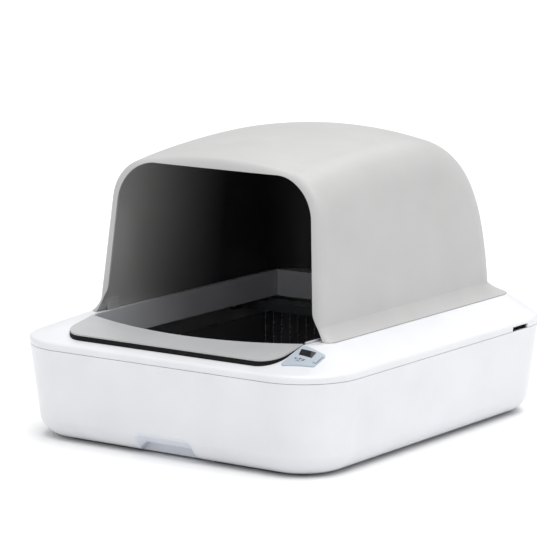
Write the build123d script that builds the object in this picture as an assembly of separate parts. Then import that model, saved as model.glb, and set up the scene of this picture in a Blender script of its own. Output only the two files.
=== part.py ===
from build123d import *
import math
import os

# Self-cleaning cat litter box with a hood, in millimetres.
# X is to the right seen from the front, Y runs from the front to the back, Z is up.
# The origin is on the floor, under the middle of the housing.

# ---- housing, overall ----
overall_width = 480.0
overall_length = 551.0
corner_radius = 80.0
crease_height = 127.0
deck_height = 150.0
seam_height = 118.0
seam_gap = 0.5
wall_draft = 7.2
shell_wall = 3.0
shell_base = 2.7
base_round = 28.0
sole_lip = 3.0
crease_round = 5.0
deck_edge_round = 9.0

# ---- top cover ----
side_slope_run = 55.5
front_slope_run = 75.5
rear_slope_run = 19.5
deck_corner = 38.0
deck_rim = 22.0
opening_rear_margin = 51.0
opening_corner = 1.5
pry_slot_margin = 102.5
pry_slot_length = 36.0
pry_slot_height = 6.0

# ---- litter tray ----
tray_side_gap = 20.0
tray_end_gap = 2.0
tray_height = 92.0
tray_wall = 2.4
tray_corner = 34.0
tray_floor = 3.2
plate_thickness = 2.4
plate_overhang = 4.0
plate_end_overhang = 4.6
pit_length = 44.0
pit_wall_height = 58.0

# ---- finger notch ----
notch_height = 27.5
notch_half_top = 40.0
notch_half_foot = 54.0
notch_corner = 9.0
notch_lip_depth = 11.5
arch_height = 16.5
arch_half_top = 35.0
arch_half_foot = 52.0
arch_depth = 24.5
arch_corner = 5.0
pocket_wall = 2.0
pocket_back = 7.0

# ---- waste lid ----
lid_opening_gap = 2.5
lid_length = 64.0
lid_front_inset = 16.5
lid_thickness = 2.0
lid_rise = 1.4
lid_slope = 10.2
lid_front_corner = 28.0
lid_rear_bow = 24.0
lid_edge_round = 0.8
hinge_pin_radius = 1.5
hinge_bore_clearance = 0.08
hinge_drop = 6.5
hinge_inset = 3.5
lug_width = 8.0
ear_gap = 2.0
ear_width = 6.0
gasket_width = 4.0
gasket_inset = -0.6
gasket_gap = 0.4
lid_side_gap = 1.0
recess_start = 26.0

# ---- side rails and rear liner ----
rail_thickness = 3.0
rail_gap = 1.5
rail_foot_height = 117.0
rail_rise = 2.0
rail_flange = 15.0
rail_front_margin = 85.5

# ---- rake drive ----
rod_inset = 35.0
rod_height = 108.0
rod_radius = 4.0
rod_margin_front = 74.0
rod_margin_rear = 62.0
running_clearance = 0.06
block_size = 24.0
block_thickness = 9.0
collar_length = 24.0
collar_radius = 7.0
eye_radius = 11.0
beam_depth = 26.0
beam_thickness = 12.0
rake_park_margin = 100.0
tine_count = 25
tine_radius = 1.1
tine_floor_gap = 4.0
tine_side_gap = 14.0
gear_module = 1.6
gear_teeth = 22
pinion_teeth = 9
gear_width = 8.0
gear_rod_gap = 2.0
gearbox_length = 44.0
gearbox_depth = 34.0
gearbox_height = 31.0
gearbox_wall_gap = 0.5
motor_radius = 15.0
motor_length = 52.0
shaft_radius = 2.5
hanger_radius = 4.0
board_post_radius = 2.5

# ---- control panel ----
panel_rise = 1.6
panel_corner = 4.0
lens_rise = 2.0
button_rise = 2.4
button_gap = 0.5
button_stem_radius = 1.4
button_travel = 1.2
switch_height = 6.0

# ---- hood ----
hood_seat_gap = 0.3
hood_wall = 2.6
hood_height = 373.0
hood_apex_margin = 204.5
hood_side_inset = 12.0
hood_side_lean = 5.0
hood_front_margin = 102.1
hood_front_lean = 4.97
hood_rear_margin = 27.0
hood_roof_drop = 25.3
hood_rear_taper = 14.0
hood_rear_fullness = 2.72
hood_roof_round = 53.5
hood_lip_round = 11.5
skirt_height = 30.0
skirt_front_setback = 0.25
skirt_bite = 3.0
skirt_fullness = 2.6
skirt_corner = 64.0
skirt_steps = 5
doorway_head_drop = 29.5
doorway_foot_margin = 0.5
doorway_knee_margin = 16.9
doorway_knee_rise = 30.0
doorway_head_margin = 29.5
doorway_corner = 55.0
doorway_knee_round = 24.0
latch_setback = 28.4
latch_length = 20.0
latch_height = 14.0
latch_thickness = 2.5

# ---- small parts ----
screw_radius = 1.5
screw_head_radius = 3.2
screw_head_height = 2.2
boss_radius = 4.5
boss_foot = 92.0
boss_wall_gap = 12.0
boss_rib = 3.0
foot_length = 34.0
foot_width = 11.0
foot_height = 3.0
foot_boss_height = 16.0
foot_side_gap = 3.0
board_thickness = 1.6
board_height = 100.0
inlet_x = -120.0
inlet_height = 52.0
inlet_radius = 5.6

# ---- worked out from the sizes above ----
half_width = overall_width / 2
half_length = overall_length / 2
draft_slope = math.tan(math.radians(wall_draft))
sole_inset = (crease_height - shell_base) * draft_slope
sole_inset += base_round * math.tan(math.radians(45 - wall_draft / 2))
hole_inset = sole_inset + sole_lip
deck_half = half_width - side_slope_run
deck_front = -half_length + front_slope_run
deck_rear = half_length - rear_slope_run
opening_half = deck_half - deck_rim
opening_rear = deck_rear - opening_rear_margin
lid_half_width = opening_half - lid_opening_gap
lid_rear_height = deck_height + lid_rise
lid_front = -half_length + lid_front_inset
lid_rear = lid_front + lid_length
tray_half = half_width - hole_inset - tray_side_gap
tray_end = half_length - hole_inset - tray_end_gap
rod_x = half_width - rod_inset
rod_front = -half_length + rod_margin_front
rod_rear = half_length - rod_margin_rear
rail_outer = opening_half - rail_gap
rail_inner = rail_outer - rail_thickness
rail_front = -half_length + rail_front_margin
rail_top = deck_height + rail_rise
rake_y = half_length - rake_park_margin
beam_top = rod_height + beam_thickness / 2
hinge_y = lid_rear - hinge_inset
board_rear = lid_front + 47.5
hinge_z = lid_rear_height - hinge_drop
gear_radius = gear_module * gear_teeth / 2
pinion_radius = gear_module * pinion_teeth / 2
pinion_x = rod_x - gear_radius - pinion_radius
gear_y = rod_rear + block_thickness + gear_rod_gap + gear_width / 2
gearbox_y = gear_y + gear_width / 2 + gear_rod_gap + gearbox_depth / 2
hood_seat = deck_height + hood_seat_gap
hood_half = deck_half - hood_side_inset
hood_front_y = -half_length + hood_front_margin
hood_apex_y = half_length - hood_apex_margin
hood_rear = half_length - hood_rear_margin
doorway_foot_half = hood_half - doorway_foot_margin
doorway_knee_half = hood_half - doorway_knee_margin
doorway_head_half = hood_half - doorway_head_margin
doorway_height = hood_height - doorway_head_drop
doorway_knee_height = deck_height + doorway_knee_rise
latch_y = hood_front_y + latch_setback
notch_lip_y = -half_length + notch_lip_depth
arch_y = -half_length + arch_depth
pry_slot_centre_y = half_length - pry_slot_margin
corner_x = half_width - corner_radius
corner_y = half_length - corner_radius


def block(x0, x1, y0, y1, z0, z1):
    """A box between two corners."""
    middle = ((x0 + x1) / 2, (y0 + y1) / 2, (z0 + z1) / 2)
    return Pos(*middle) * Box(x1 - x0, y1 - y0, z1 - z0)


def rod_along_y(x, z, y0, y1, radius):
    """A cylinder that runs from y0 to y1."""
    plane = Plane(origin=(x, y0, z), x_dir=(1, 0, 0), z_dir=(0, 1, 0))
    return extrude(plane * Circle(radius), y1 - y0)


def rod_along_x(y, z, x0, x1, radius):
    """A cylinder that runs from x0 to x1."""
    plane = Plane(origin=(x0, y, z), x_dir=(0, 1, 0), z_dir=(1, 0, 0))
    return extrude(plane * Circle(radius), x1 - x0)


def post(x, y, z0, z1, radius):
    """An upright cylinder."""
    return Pos(x, y, (z0 + z1) / 2) * Cylinder(radius, z1 - z0)


def outline(half_x, y0, y1, z, radius):
    """A rounded rectangle that lies at height z."""
    return Pos(0, (y0 + y1) / 2, z) * RectangleRounded(2 * half_x, y1 - y0, radius)


def edges_near(solid, z, slack=0.05):
    """The edges that lie flat at height z."""
    found = []
    for edge in solid.edges():
        box = edge.bounding_box()
        if abs(box.min.Z - z) < slack and abs(box.max.Z - z) < slack:
            found.append(edge)
    return found


def prism(points, z0, z1, corner=0.0):
    """An upright prism over plan points, with its corners rounded."""
    sketch = make_face(Polyline(*points, close=True).edges())
    if corner > 0:
        sketch = fillet(sketch.vertices(), corner)
    return extrude(Pos(0, 0, z0) * sketch, z1 - z0)


# ---- housing forms ----
def housing_form(inset):
    """The drafted side walls from the crease down, with the rounded foot."""
    top = outline(half_width - inset, -half_length + inset, half_length - inset,
                  crease_height, corner_radius - inset)
    depth = crease_height - shell_base - inset
    form = extrude(top, depth, dir=(0, 0, -1), taper=wall_draft).solids()[0]
    return fillet(edges_near(form, shell_base + inset), base_round - inset)


def cover_form(inset, rise=0.0):
    """The top cover's outer form, shrunk by inset and moved up by rise."""
    crease = outline(half_width - inset, -half_length + inset, half_length - inset,
                     crease_height - inset, corner_radius - inset)
    deck = outline(deck_half - inset, deck_front + inset, deck_rear - inset,
                   deck_height - inset, deck_corner - inset)
    shoulders = loft([crease, deck], ruled=True)
    skirt = housing_form(inset) & block(-half_width, half_width, -half_length, half_length,
                                        seam_height + seam_gap, crease_height - inset)
    form = (shoulders + skirt).solids()[0]
    form = fillet(edges_near(form, deck_height - inset), deck_edge_round)
    if inset == 0:
        form = fillet(edges_near(form, crease_height), crease_round)
    return Pos(0, 0, rise) * form


def lid_plan(inset, z0, z1):
    """The lid's plan: rounded front corners and a rear edge bowed forward."""
    half = lid_half_width - inset
    front = lid_front + inset
    rear = lid_rear - inset
    corner = lid_front_corner - inset
    start = (-half, rear)
    sides = Polyline(start, (-half, front), (half, front), (half, rear))
    rear_edge = ThreePointArc((half, rear), (0, rear - lid_rear_bow), start)
    sketch = make_face(sides.edges() + [rear_edge.edge()])
    rounded = [v for v in sketch.vertices() if v.Y < front + 1]
    sketch = fillet(rounded, corner)
    return extrude(Pos(0, 0, z0) * sketch, z1 - z0)


def lid_slab(top_drop, bottom_drop):
    """The slab between two planes that slope with the lid."""
    width = overall_width
    length = overall_length
    slope = Plane(origin=(0, lid_rear, lid_rear_height), x_dir=(1, 0, 0),
                  z_dir=(0, -math.sin(math.radians(lid_slope)), math.cos(math.radians(lid_slope))))
    sheet = extrude(slope * Rectangle(width, length), bottom_drop, dir=-slope.z_dir)
    if top_drop > 0:
        sheet -= extrude(slope * Rectangle(width, length), top_drop, dir=-slope.z_dir)
    return sheet


# ---- tray ----
def litter_tray():
    plate_x = tray_half + plate_overhang
    plate_y = tray_end + plate_end_overhang
    plate = extrude(outline(plate_x, -plate_y, plate_y, 0, tray_corner), plate_thickness)
    walls = extrude(outline(tray_half, -tray_end, tray_end, 0, tray_corner), tray_height)
    inside = extrude(outline(tray_half - tray_wall, -tray_end + tray_wall, tray_end - tray_wall,
                             tray_floor, tray_corner - tray_wall), tray_height)
    pit_y = -tray_end + pit_length
    divider = block(-tray_half + tray_wall, tray_half - tray_wall, pit_y, pit_y + tray_wall,
                    plate_thickness, pit_wall_height)
    hand = block(-notch_half_foot - pocket_wall, notch_half_foot + pocket_wall,
                 -half_length, -tray_end - tray_end_gap / 4, -1, plate_thickness + 1)
    return plate + walls - inside + divider - hand


# ---- housing shells ----
def arch_face(y, half_foot, half_top, top, corner):
    """An arch that stands at y, seen from the front."""
    points = [(-half_foot, -1), (-half_top, top), (half_top, top), (half_foot, -1)]
    sketch = make_face(Polyline(*points, close=True).edges())
    upper = [v for v in sketch.vertices() if v.Y > 0]
    plane = Plane(origin=(0, y, 0), x_dir=(1, 0, 0), z_dir=(0, -1, 0))
    return plane * fillet(upper, corner)


def notch_form(grow, y_back):
    """The finger notch: an outer arch, a scooped band and a recess behind it."""
    outer = arch_face(notch_lip_y, notch_half_foot + grow, notch_half_top + grow,
                      notch_height + grow, notch_corner + grow)
    inner = arch_face(arch_y, arch_half_foot + grow, arch_half_top + grow,
                      arch_height + grow, arch_corner + grow)
    mouth = extrude(outer, half_length + notch_lip_y)
    recess = extrude(inner, -(y_back - arch_y))
    return mouth + loft([outer, inner]) + recess


def notch_back():
    return -half_length + hole_inset - pocket_back


def grip_pocket():
    cup = notch_form(pocket_wall, notch_back() + pocket_wall) & housing_form(0)
    return cup - notch_form(0, notch_back())


def corner_bosses():
    """The places of the four screw bosses, tucked into the corners."""
    reach = (corner_radius - boss_wall_gap) * math.sqrt(0.5)
    return [(sx * (corner_x + reach), sy * (corner_y + reach)) for sx in (-1, 1) for sy in (-1, 1)]


def foot_places():
    """The places of the four feet, beside the tray plate."""
    x = tray_half + plate_overhang + foot_side_gap + foot_width / 2
    y = corner_y - foot_length / 2
    return [(sx * x, sy * y) for sx in (-1, 1) for sy in (-1, 1)]


def lower_shell():
    form = housing_form(0)
    body = form & block(-half_width, half_width, -half_length, half_length, 0, seam_height)
    body -= housing_form(shell_wall)
    hole = outline(half_width - hole_inset, -half_length + hole_inset, half_length - hole_inset,
                   -1, tray_corner + tray_end_gap)
    body -= extrude(hole, shell_base + 2 * shell_wall)
    for x, y in corner_bosses():
        turn = math.degrees(math.atan2(y, x))
        outward = Rot(0, 0, 45 + 90 * round((turn - 45) / 90))
        rib = Pos(boss_wall_gap, 0, 0) * Box(2 * boss_wall_gap, boss_rib, seam_height - boss_foot)
        rib = Pos(x, y, (boss_foot + seam_height) / 2) * outward * rib
        body += (post(x, y, boss_foot, seam_height, boss_radius) + rib) & form
        body -= post(x, y, boss_foot - 1, seam_height + 1, screw_radius + 0.3)
    for x, y in foot_places():
        outer_x = math.copysign(half_width, x)
        inner_x = x - math.copysign(foot_width / 2, x)
        pad = block(min(inner_x, outer_x), max(inner_x, outer_x), y - foot_length / 2,
                    y + foot_length / 2, foot_height, foot_height + foot_boss_height)
        body += pad & form
    body -= notch_form(pocket_wall, notch_back() + pocket_wall)
    body -= rod_along_y(inlet_x, inlet_height, half_length - 2 * corner_radius, half_length, inlet_radius)
    return body


def feet():
    pads = []
    for x, y in foot_places():
        pads.append(block(x - foot_width / 2, x + foot_width / 2,
                          y - foot_length / 2, y + foot_length / 2, 0, foot_height))
    return Compound(children=pads)


def panel_points():
    """The control panel's plan, beside the lid on the right."""
    side = opening_half
    return [(side + 2, lid_front + 7), (side + 1, lid_rear - 4),
            (side + 35.5, lid_rear - 8), (side + 39.5, lid_rear - 39.5)]


def lens_points():
    """The display window's plan."""
    side = opening_half
    return [(side + 9, lid_rear - 26.5), (side + 4, lid_rear - 14),
            (side + 23.5, lid_rear - 11), (side + 26.5, lid_rear - 25)]


def button_points():
    """The push button's plan, along the panel's outer edge."""
    side = opening_half
    return [(side + 31.4, lid_rear - 14.5), (side + 34.8, lid_rear - 14),
            (side + 37.2, lid_rear - 32.5), (side + 33.8, lid_rear - 33)]


def button_centre():
    points = button_points()
    return sum(p[0] for p in points) / 4, sum(p[1] for p in points) / 4


def cover_opening():
    """The opening over the tray, and the chute under the lid."""
    low = crease_height - 20
    high = crease_height + 40
    main = extrude(outline(opening_half, rail_front - rail_gap, opening_rear, low, opening_corner),
                   high - low)
    chute = lid_plan(gasket_inset + gasket_width, low, high)
    reach = lid_half_width + lid_side_gap
    recess = lid_plan(-lid_side_gap, low, high)
    recess = recess & block(-reach, reach, lid_front + recess_start, lid_rear, low, high)
    bridge = block(-reach, reach, lid_rear - lid_rear_bow - 5, rail_front, low, high)
    return main + chute + recess + bridge


def board_posts():
    return [(lid_half_width + dx, lid_front + dy) for dx, dy in ((12, 20), (12, 42), (39, 30))]


def hanging_post(x, y, z, radius):
    """A post that hangs from the cover's underside down to z."""
    inside = cover_form(shell_wall) + post(x, y, z, crease_height, radius)
    return post(x, y, z, deck_height, radius) & inside


def hinge_ear(side):
    """The ear under the cover that takes one of the lid's hinge pins."""
    x0, x1 = sorted((side * (lid_half_width + ear_gap), side * (lid_half_width + ear_gap + ear_width)))
    ear = block(x0, x1, hinge_y - 2 * hinge_inset, hinge_y + 2 * hinge_inset,
                hinge_z - 2 * hinge_inset, deck_height) & cover_form(0)
    bore = rod_along_x(hinge_y, hinge_z, x0 - 1, x1 + 1, hinge_pin_radius + hinge_bore_clearance)
    return ear, bore


def top_cover():
    body = cover_form(0) - cover_form(shell_wall)
    for x, y in corner_bosses():
        body += post(x, y, seam_height + seam_gap, deck_height, boss_radius) & cover_form(0)
        body -= post(x, y, seam_height - 1, seam_height + 9, screw_radius)
    for x, y in board_posts():
        body += hanging_post(x, y, board_height + board_thickness, board_post_radius)
    for side in (-1, 1):
        for y0, y1 in rod_ends():
            body += hanging_post(side * rod_x, (y0 + y1) / 2, rod_height + block_size / 2, hanger_radius)
    for dx in (-gearbox_length / 3, gearbox_length / 3):
        body += hanging_post(pinion_x + dx, gearbox_y, rod_height + gearbox_height / 2, hanger_radius)
    body -= cover_opening()
    for side in (-1, 1):
        ear, bore = hinge_ear(side)
        body = body + ear - bore
    body -= block(half_width - 12, half_width + 1, pry_slot_centre_y - pry_slot_length / 2,
                  pry_slot_centre_y + pry_slot_length / 2, seam_height, seam_height + pry_slot_height)
    x, y = button_centre()
    body -= post(x, y, crease_height - 20, deck_height + 5, button_stem_radius + button_gap)
    return body


# ---- waste lid ----
def waste_lid():
    plate = lid_plan(0, crease_height, deck_height + 10) & lid_slab(0, lid_thickness)
    plate = plate.solids()[0]
    plate = fillet(plate.faces().sort_by(Axis.Z)[-1].edges(), lid_edge_round)
    for side in (-1, 1):
        x0, x1 = sorted((side * (lid_half_width - lug_width), side * lid_half_width))
        lug = block(x0, x1, hinge_y - hinge_inset, hinge_y + hinge_inset, hinge_z - hinge_inset,
                    deck_height)
        plate += lug & lid_slab(lid_thickness / 2, 4 * hinge_drop) & lid_plan(0, crease_height, deck_height)
    return plate - rod_along_x(hinge_y, hinge_z, -half_width, half_width, hinge_pin_radius)


def lid_hinge_pins():
    pins = []
    for side in (-1, 1):
        a = side * (lid_half_width - lug_width)
        b = side * (lid_half_width + ear_gap + ear_width)
        pins.append(rod_along_x(hinge_y, hinge_z, min(a, b), max(a, b), hinge_pin_radius))
    return Compound(children=pins)


def lid_gasket():
    """The dark seal that follows the lid's front edge, between the cover and the lid."""
    outer = lid_plan(gasket_inset, crease_height - 3, deck_height)
    inner = lid_plan(gasket_inset + gasket_width, crease_height - 4, deck_height + 1)
    ring = (outer - inner) & lid_slab(lid_thickness + gasket_gap, 60)
    ring -= cover_form(0)
    reach = lid_half_width + lid_side_gap
    front = block(-reach, reach, lid_front - 5, lid_front + recess_start - 1,
                  crease_height, deck_height)
    return (ring & front).solids().sort_by(SortBy.VOLUME)[-1]


# ---- rails and liner ----
def side_rail(side):
    """The upright liner wall beside the litter, with the flange that holds it to the cover."""
    wall_x = sorted((side * rail_inner, side * rail_outer))
    flange_x = sorted((side * rail_inner, side * (rail_outer + rail_flange)))
    rear = opening_rear - rail_gap
    wall = block(*wall_x, rail_front, rear, rail_foot_height, rail_top)
    below = block(*wall_x, rail_front, rear, rail_foot_height, crease_height)
    wall = wall & (cover_form(0, rail_rise) + below)
    flange = block(*flange_x, rail_front, rear, deck_height - 2 * shell_wall, deck_height - shell_wall)
    return wall + (flange & cover_form(shell_wall))


def rear_liner():
    y1 = opening_rear - rail_gap
    wall = block(-rail_inner, rail_inner, y1 - rail_thickness, y1, beam_top + 2, rail_top)
    flange = block(-rail_inner, rail_inner, y1 - rail_thickness, y1 + rail_flange,
                   deck_height - 2 * shell_wall, deck_height - shell_wall)
    return wall + flange


# ---- rake drive ----
def rod_ends():
    """Where each rod's two end blocks begin and end along Y."""
    return [(rod_front - block_thickness, rod_front), (rod_rear, rod_rear + block_thickness)]


def rod_blocks(side, clearance):
    bore = rod_along_y(side * rod_x, rod_height, -half_length, half_length, rod_radius + clearance)
    made = []
    for y0, y1 in rod_ends():
        body = block(side * rod_x - block_size / 2, side * rod_x + block_size / 2, y0, y1,
                     rod_height - block_size / 2, rod_height + block_size / 2)
        made.append((body - bore).solids()[0])
    return Compound(children=made)


def screw_bearings():
    return rod_blocks(1, running_clearance)


def guide_rod_blocks():
    return rod_blocks(-1, 0)


def lead_screw():
    return rod_along_y(rod_x, rod_height, rod_front - block_thickness,
                       gear_y + gear_width / 2, rod_radius)


def guide_rod():
    return rod_along_y(-rod_x, rod_height, rod_front - block_thickness,
                       rod_rear + block_thickness, rod_radius)


def gear_sketch(teeth, turn):
    """A spur gear's outline with straight-sided teeth and a little backlash."""
    pitch = gear_module * teeth / 2
    tip = pitch + 0.8 * gear_module
    root = pitch - 1.1 * gear_module
    step = 2 * math.pi / teeth
    points = []
    for tooth in range(teeth):
        middle = tooth * step + turn
        for radius, share in ((root, -0.34), (tip, -0.11), (tip, 0.11), (root, 0.34)):
            angle = middle + share * step
            points.append((radius * math.cos(angle), radius * math.sin(angle)))
    return make_face(Polyline(*points, close=True).edges())


def gear(x, teeth, turn, bore):
    plane = Plane(origin=(x, gear_y + gear_width / 2, rod_height), x_dir=(1, 0, 0), z_dir=(0, -1, 0))
    disc = extrude(plane * gear_sketch(teeth, turn), gear_width)
    return disc - rod_along_y(x, rod_height, gear_y - gear_width, gear_y + gear_width, bore)


def screw_gear():
    return gear(rod_x, gear_teeth, math.pi, rod_radius)


def motor_pinion():
    return gear(pinion_x, pinion_teeth, math.pi / pinion_teeth, shaft_radius)


def output_shaft():
    return rod_along_y(pinion_x, rod_height, gear_y - gear_width / 2,
                       gearbox_y - gearbox_depth / 4, shaft_radius)


def gearbox_case():
    case = block(pinion_x - gearbox_length / 2, pinion_x + gearbox_length / 2,
                 gearbox_y - gearbox_depth / 2, gearbox_y + gearbox_depth / 2,
                 rod_height - gearbox_height / 2, rod_height + gearbox_height / 2)
    case = case & housing_form(shell_wall + gearbox_wall_gap)
    return case - rod_along_y(pinion_x, rod_height, gear_y, gearbox_y - gearbox_depth / 4,
                              shaft_radius + running_clearance)


def drive_motor():
    end = pinion_x - gearbox_length / 2
    can = rod_along_x(gearbox_y, rod_height, end - motor_length, end, motor_radius)
    boss = rod_along_x(gearbox_y, rod_height, end - motor_length - 3, end - motor_length, motor_radius / 3)
    return can + boss


# ---- rake ----
def rake_beam():
    beam = block(-rod_x, rod_x, rake_y - beam_depth / 2, rake_y + beam_depth / 2,
                 rod_height - beam_thickness / 2, beam_top)
    for side in (-1, 1):
        x = side * rod_x
        beam += rod_along_y(x, rod_height, rake_y - beam_depth / 2, rake_y + beam_depth / 2, eye_radius)
        beam -= rod_along_y(x, rod_height, rake_y - beam_depth, rake_y + beam_depth, collar_radius)
    half = tray_half - tray_wall - tine_side_gap
    for number in range(tine_count):
        x = -half + 2 * half * number / (tine_count - 1)
        beam -= post(x, rake_y, rod_height - beam_thickness / 2 - 1, rod_height, tine_radius)
    return beam


def rake_tines():
    half = tray_half - tray_wall - tine_side_gap
    tines = []
    for number in range(tine_count):
        x = -half + 2 * half * number / (tine_count - 1)
        tines.append(post(x, rake_y, tray_floor + tine_floor_gap, rod_height, tine_radius))
    return Compound(children=tines)


def collar(side):
    """The nut or bush in the beam's end."""
    body = rod_along_y(side * rod_x, rod_height, rake_y - collar_length / 2,
                       rake_y + collar_length / 2, collar_radius)
    return body - rod_along_y(side * rod_x, rod_height, rake_y - collar_length,
                              rake_y + collar_length, rod_radius + running_clearance)


# ---- electronics ----
def control_board():
    return block(lid_half_width + 8, lid_half_width + 43, lid_front + 17, board_rear,
                 board_height, board_height + board_thickness)


def limit_switches():
    switches = []
    for y_face, towards in ((rod_front, 1), (rod_rear, -1)):
        y0, y1 = sorted((y_face, y_face + towards * 12))
        switches.append(block(rod_x - block_size / 2 - 4, rod_x - rod_radius - 3, y0, y1,
                              rod_height - 5, rod_height + 5))
    return Compound(children=switches)


def power_inlet():
    outer_y = half_length - (crease_height - inlet_height) * draft_slope - 1.5
    barrel = rod_along_y(inlet_x, inlet_height, outer_y - 16, outer_y, inlet_radius)
    back = block(inlet_x - 7, inlet_x + 7, outer_y - 24, outer_y - 16, inlet_height - 7, inlet_height + 7)
    body = barrel + back
    return body - rod_along_y(inlet_x, inlet_height, outer_y - 10, outer_y + 1, inlet_radius - 2.4)


def entry_sensor():
    """The sensor that sees the cat, set in the rear liner's face."""
    y1 = opening_rear - rail_gap - rail_thickness
    return block(-14, 14, y1 - 5, y1, rail_top - 18, rail_top - 4)


# ---- control panel ----
def panel_slab(low, high):
    return cover_form(0, high) - cover_form(0, low)


def control_panel():
    body = prism(panel_points(), crease_height, deck_height + 10, panel_corner) & panel_slab(0, panel_rise)
    body -= prism(lens_points(), crease_height, deck_height + 10, 1)
    grown = offset(make_face(Polyline(*button_points(), close=True).edges()), button_gap)
    body -= extrude(Pos(0, 0, crease_height) * grown, 30)
    return body


def display_lens():
    return prism(lens_points(), crease_height, deck_height + 10, 1) & panel_slab(0, lens_rise)


def control_button():
    cap = prism(button_points(), crease_height, deck_height + 10, 1.2)
    cap = cap & panel_slab(button_travel + 0.4, button_rise)
    x, y = button_centre()
    foot = board_height + board_thickness + switch_height + button_travel + button_gap
    stem = post(x, y, foot, deck_height + 10, button_stem_radius)
    stem = stem & (cover_form(0, button_rise) + post(x, y, foot, crease_height + 1, button_stem_radius))
    return cap + stem


def button_switch():
    x, y = button_centre()
    base = board_height + board_thickness
    body = block(x - 4, x + 4, y - 4, y + 4, base, base + switch_height - 2)
    return body + post(x, y, base, base + switch_height, button_stem_radius * 0.7)


def display_board():
    """The small board under the display window."""
    low = board_height + board_thickness
    return block(lid_half_width + 8, lid_half_width + 26, board_rear, board_rear + board_thickness,
                 board_height - 8, low + 14)


def cover_screws():
    screws = []
    for x, y in corner_bosses():
        shank = post(x, y, boss_foot, seam_height + 9, screw_radius)
        head = post(x, y, boss_foot - screw_head_height, boss_foot, screw_head_radius)
        screws.append((shank + head).solids()[0])
    return Compound(children=screws)


def hood_latch(side):
    """A clip at the doorway's foot, inside the hood's wall."""
    x0, x1 = sorted((side * (hood_half - hood_wall - latch_thickness - 2), side * hood_half))
    pad = block(x0, x1, latch_y - latch_length / 2, latch_y + latch_length / 2,
                hood_seat, hood_seat + latch_height)
    return (pad & hood_form(hood_wall)).solids()[0]


# ---- hood ----
def hood_side_section(x, inset, drop, rear_inset):
    """The closed outline of the hood seen from the side, at one place across its width."""
    lean = math.tan(math.radians(hood_front_lean))
    apex = hood_height - inset - drop
    front_top = apex - 18
    foot = Vector(x, hood_front_y + inset, hood_seat)
    brow = Vector(x, foot.Y + lean * (front_top - hood_seat), front_top)
    points = [brow, Vector(x, (brow.Y + hood_apex_y) / 2, apex - 4.5)]
    depth = hood_rear - rear_inset - inset - hood_apex_y
    steps = 8
    for step in range(steps + 1):
        angle = math.pi / 2 * (1 - step / steps)
        along = abs(math.cos(angle)) ** (2 / hood_rear_fullness)
        up = abs(math.sin(angle)) ** (2 / hood_rear_fullness)
        points.append(Vector(x, hood_apex_y + depth * along, hood_seat + (apex - hood_seat) * up))
    roof = Edge.make_spline(points, tangents=[Vector(0, 1, 0.17), Vector(0, 0, -1)])
    front = Edge.make_line(foot, brow)
    base = Edge.make_line(points[-1], foot)
    return Face(Wire([front, roof, base]))


def hood_form(inset):
    """The hood's solid form, shrunk by inset."""
    reach = hood_half + 4
    sections = [hood_side_section(-reach, inset, hood_roof_drop, hood_rear_taper),
                hood_side_section(0, inset, 0, 0),
                hood_side_section(reach, inset, hood_roof_drop, hood_rear_taper)]
    body = loft(sections)
    top = hood_height + 20
    lean = math.tan(math.radians(hood_side_lean))
    foot_half = hood_half - inset
    top_half = foot_half - (top - hood_seat) * lean
    face = make_face(Polyline((-foot_half, hood_seat), (foot_half, hood_seat), (top_half, top),
                              (-top_half, top), close=True).edges())
    body = (body & extrude(Plane.XZ * face, overall_length, both=True)).solids()[0]
    sides = [e for e in body.edges() if e.length > hood_rear - hood_front_y + 50]
    return fillet(sides, hood_roof_round - inset)


def hood_skirt():
    """The flare where the hood's walls spread to meet the deck."""
    lean = math.tan(math.radians(hood_front_lean))
    sections = []
    for step in range(skirt_steps + 1):
        share = step / skirt_steps
        spread = (1 - share) ** skirt_fullness
        half = hood_half - skirt_bite + spread * (deck_half - hood_half + skirt_bite)
        front = hood_front_y + skirt_front_setback + skirt_height * share * lean
        rear = hood_rear - 2 * skirt_bite + spread * (deck_rear - hood_rear + 2 * skirt_bite)
        corner = skirt_corner + spread * (deck_corner - skirt_corner)
        plan = Pos(0, (front + rear) / 2) * Rectangle(2 * half, rear - front)
        plan = fillet([v for v in plan.vertices() if v.Y > 0], corner)
        plan = fillet([v for v in plan.vertices() if v.Y < front + 1], hood_lip_round)
        sections.append(Pos(0, 0, hood_seat + skirt_height * share) * plan)
    return loft(sections)


def doorway():
    """The hood's front opening, flared at its foot."""
    foot = hood_seat - 1
    points = [(-doorway_foot_half - 1, foot), (-doorway_knee_half, doorway_knee_height),
              (-doorway_head_half, doorway_height), (doorway_head_half, doorway_height),
              (doorway_knee_half, doorway_knee_height), (doorway_foot_half + 1, foot)]
    sketch = make_face(Polyline(*points, close=True).edges())
    heads = [v for v in sketch.vertices() if v.Y > doorway_height - 1]
    sketch = fillet(heads, doorway_corner)
    knees = [v for v in sketch.vertices() if abs(v.Y - doorway_knee_height) < 0.1]
    sketch = fillet(knees, doorway_knee_round)
    return extrude(Plane.XZ * sketch, -(hood_front_y - 40), both=False)


def lipped_form(inset):
    """The hood's form with the edges round its front face rounded."""
    form = hood_form(inset)
    lip = [e for e in form.edges() if e.bounding_box().max.Y < hood_front_y + 24
           and e.bounding_box().max.Z > hood_seat + 50]
    return fillet(lip, hood_lip_round - inset)


def hood_shell():
    body = lipped_form(0) + hood_skirt() - lipped_form(hood_wall)
    opening = doorway() & block(-half_width, half_width, hood_front_y - 30,
                                hood_front_y + 44, 0, hood_height)
    return (body - opening).solids().sort_by(SortBy.VOLUME)[-1]


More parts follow.
